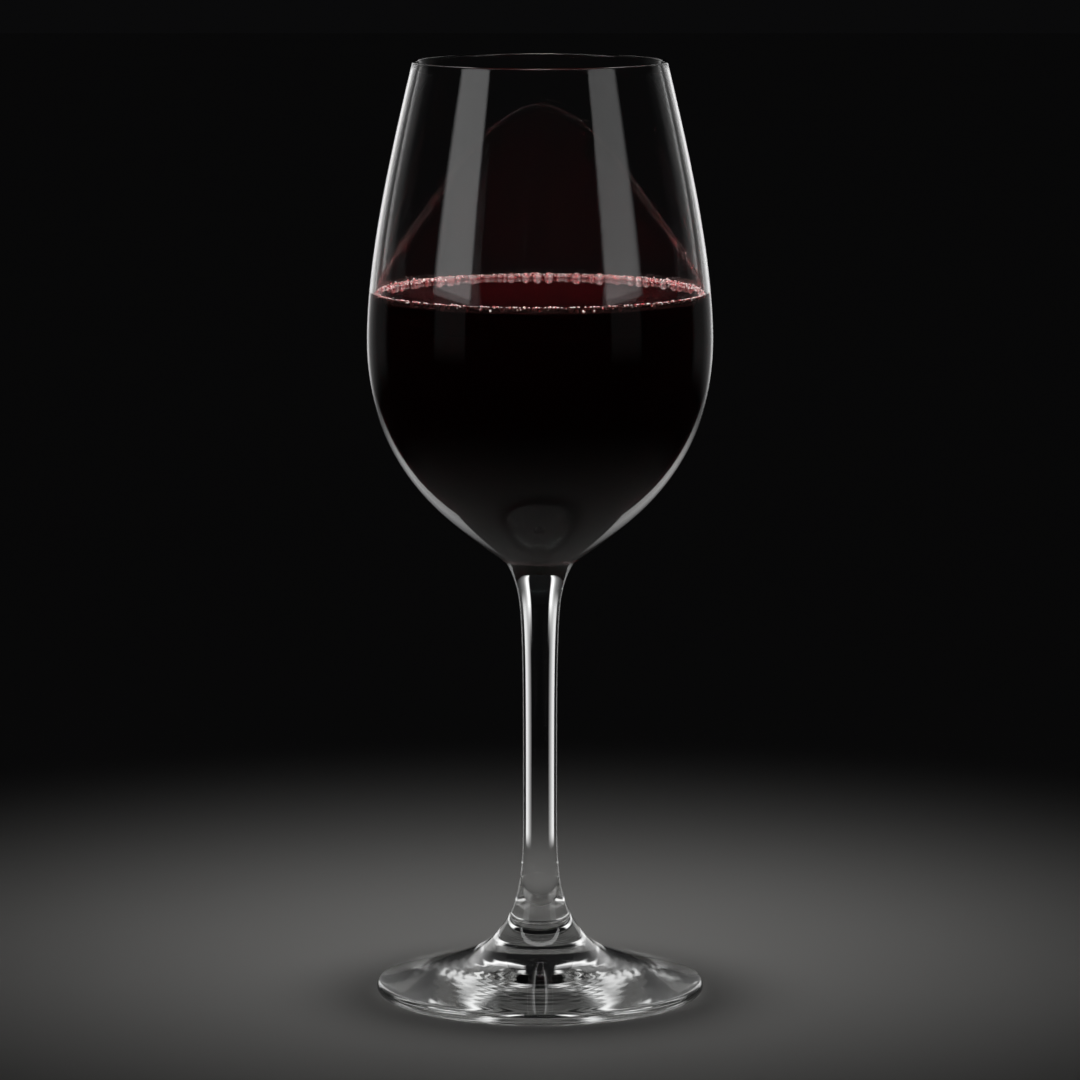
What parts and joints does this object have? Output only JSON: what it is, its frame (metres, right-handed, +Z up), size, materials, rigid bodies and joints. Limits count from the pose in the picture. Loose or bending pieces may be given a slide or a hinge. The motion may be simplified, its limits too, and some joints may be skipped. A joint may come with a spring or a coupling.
{
  "type": "glass of red wine",
  "caption": "Stemmed clear glass with an egg-shaped bowl, a slim drawn stem and a round hollow foot, a little over half full of dark red wine.",
  "frame": {"origin": "centre of the foot, on the surface that the glass stands on", "axes": "+Z up along the stem, which is the axis of revolution; X and Y are alike"},
  "size_m": [0.0812, 0.0812, 0.22],
  "materials": {
    "clear_glass": "colourless crystal, fire-polished and clear",
    "red_wine": "clear deep garnet liquid, almost black in the depth of the bowl and ruby at its thin edges",
    "bubble_film": "thin glossy film of wine round the air in each bubble"
  },
  "bodies": {
    "root": {"glass": "clear_glass", "wine": "red_wine"}
  },
  "joints": []
}
